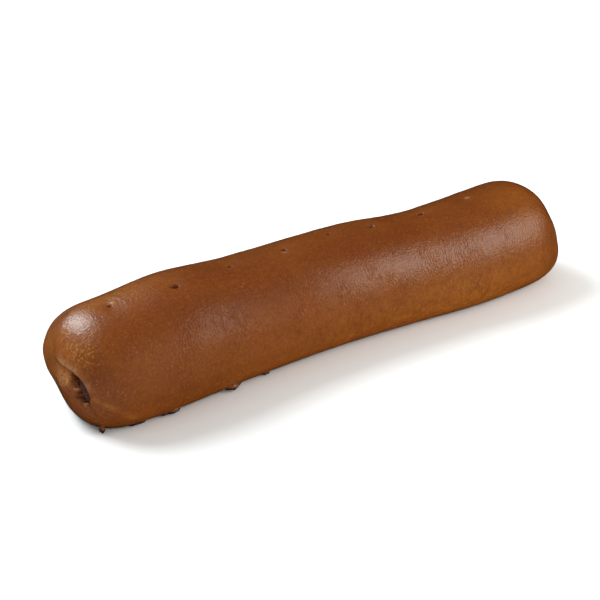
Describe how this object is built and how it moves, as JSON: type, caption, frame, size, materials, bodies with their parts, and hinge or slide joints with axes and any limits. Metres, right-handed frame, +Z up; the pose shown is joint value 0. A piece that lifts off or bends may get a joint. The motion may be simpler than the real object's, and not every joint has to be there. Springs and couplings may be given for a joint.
{
  "type": "poppy seed roll",
  "caption": "Uncut baked poppy seed roll, a long glazed log of yeast dough with tucked ends, docking pricks and dark filling showing at one tuck.",
  "frame": {"origin": "middle of the bottom of the bounding box, in the plane of the flat base", "axes": "+X along the roll, away from the end whose pocket shows the filling, and +Z up; the side with the leaked crumbs faces -Y"},
  "size_m": [0.3032, 0.0728, 0.0561],
  "materials": {
    "crust": "baked egg-glazed dough, satin, red-brown with golden edges",
    "filling": "moist ground poppy seed, nearly black"
  },
  "bodies": {
    "root": {"crust": "crust", "filling": "filling"}
  },
  "joints": []
}
